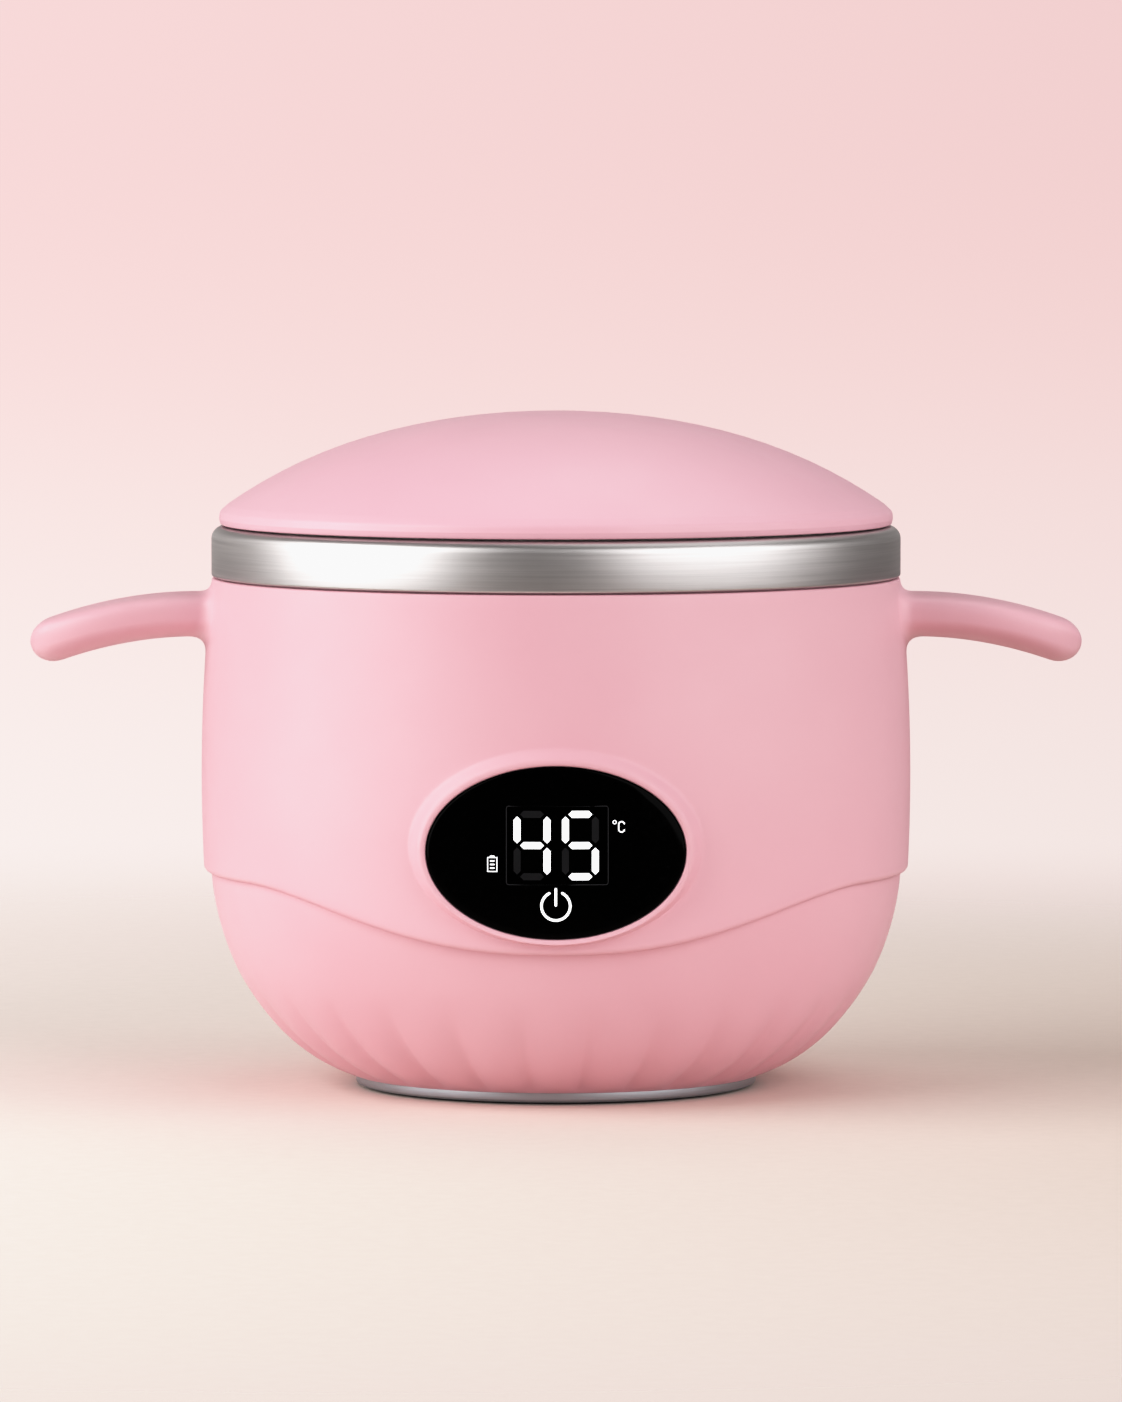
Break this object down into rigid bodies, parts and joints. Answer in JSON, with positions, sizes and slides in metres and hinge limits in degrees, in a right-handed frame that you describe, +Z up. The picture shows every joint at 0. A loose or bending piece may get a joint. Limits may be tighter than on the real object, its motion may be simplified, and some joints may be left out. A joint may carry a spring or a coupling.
{
  "type": "yogurt maker",
  "caption": "Cordless heated bowl with ear handles, oval temperature display, lift-out steel bowl and domed lid, for keeping milk cultures warm.",
  "frame": {"origin": "centre of the foot pad's underside, on the surface that the object stands on", "axes": "+Z up along the body's axis, -Y towards the display, +X to the right through one ear handle"},
  "size_m": [0.1898, 0.1303, 0.1219],
  "materials": {
    "housing_pink": "satin, faint moulded texture",
    "lid_pink": "satin",
    "cover_silicone": "matte silicone",
    "brushed_steel": "circular brushed",
    "screw_steel": "zinc plated",
    "silicone_seal": "translucent matte silicone",
    "foot_rubber": "matte",
    "liner_plastic": "smooth",
    "plate_aluminium": "turned",
    "insulation_felt": "pressed fibre",
    "heater_foil": "polyimide film",
    "display_black": "polished",
    "led_white": "lit diffuser",
    "circuit_green": "solder mask",
    "chip_black": "moulded epoxy",
    "cell_sleeve": "shrink film",
    "frame_black": "matte",
    "wire_red": "wire insulation",
    "ribbon_grey": "flat cable"
  },
  "bodies": {
    "housing": {"upper_housing": "housing_pink", "lower_housing": "housing_pink", "base_plate": "brushed_steel", "foot_pad": "foot_rubber", "bowl_gasket": "silicone_seal", "plate_seal": "silicone_seal", "inner_sleeve": "liner_plastic", "thermal_fuse": "liner_plastic", "insulation_jacket": "insulation_felt", "heating_plate": "plate_aluminium", "heater_film": "heater_foil", "heater_clamp": "brushed_steel", "sensor_bracket": "frame_black", "sensor_spring": "screw_steel", "touch_spring": "screw_steel", "display_lens": "display_black", "lens_gasket": "foot_rubber", "digit_module": "led_white", "battery_icon_led": "led_white", "unit_icon_led": "led_white", "display_board": "circuit_green", "main_board": "circuit_green", "port_board": "circuit_green", "controller_chip": "chip_black", "charger_chip": "chip_black", "power_inductor": "chip_black", "buzzer": "frame_black", "battery_cell_1": "cell_sleeve", "battery_cell_2": "cell_sleeve", "battery_holder": "frame_black", "usb_socket": "screw_steel", "battery_lead": "wire_red", "heater_lead": "wire_red", "port_lead": "wire_red", "display_ribbon": "ribbon_grey", "base_screw_1": "screw_steel", "board_screw_1": "screw_steel", "base_screw_2": "screw_steel", "board_screw_2": "screw_steel", "base_screw_3": "screw_steel", "board_screw_3": "screw_steel", "base_screw_4": "screw_steel", "board_screw_4": "screw_steel", "plate_screw_1": "screw_steel", "plate_screw_2": "screw_steel", "plate_screw_3": "screw_steel"},
    "bowl": {"inner_bowl": "brushed_steel"},
    "lid": {"lid_cover": "lid_pink", "lid_liner": "liner_plastic", "lid_seal": "silicone_seal"},
    "cover": {"port_cover": "cover_silicone"},
    "sensor": {"sensor_probe": "brushed_steel"}
  },
  "joints": [
    {"name": "bowl_lift", "type": "slide", "parent": "housing", "child": "bowl", "axis": [0, 0, 1], "range_m": [0, 0.075]},
    {"name": "lid_lift", "type": "slide", "parent": "bowl", "child": "lid", "axis": [0, 0, 1], "range_m": [0, 0.06]},
    {"name": "port_cover_swing", "type": "hinge", "parent": "housing", "child": "cover", "pos_m": [0, 0.0642, 0.041], "axis": [-1, 0, 0], "range_deg": [0, 110]},
    {"name": "sensor_plunge", "type": "slide", "parent": "housing", "child": "sensor", "axis": [0, 0, 1], "range_m": [-0.0015, 0], "stiffness_N_per_m": 300, "springref_m": 0.002, "deforming": ["sensor_spring"]}
  ]
}
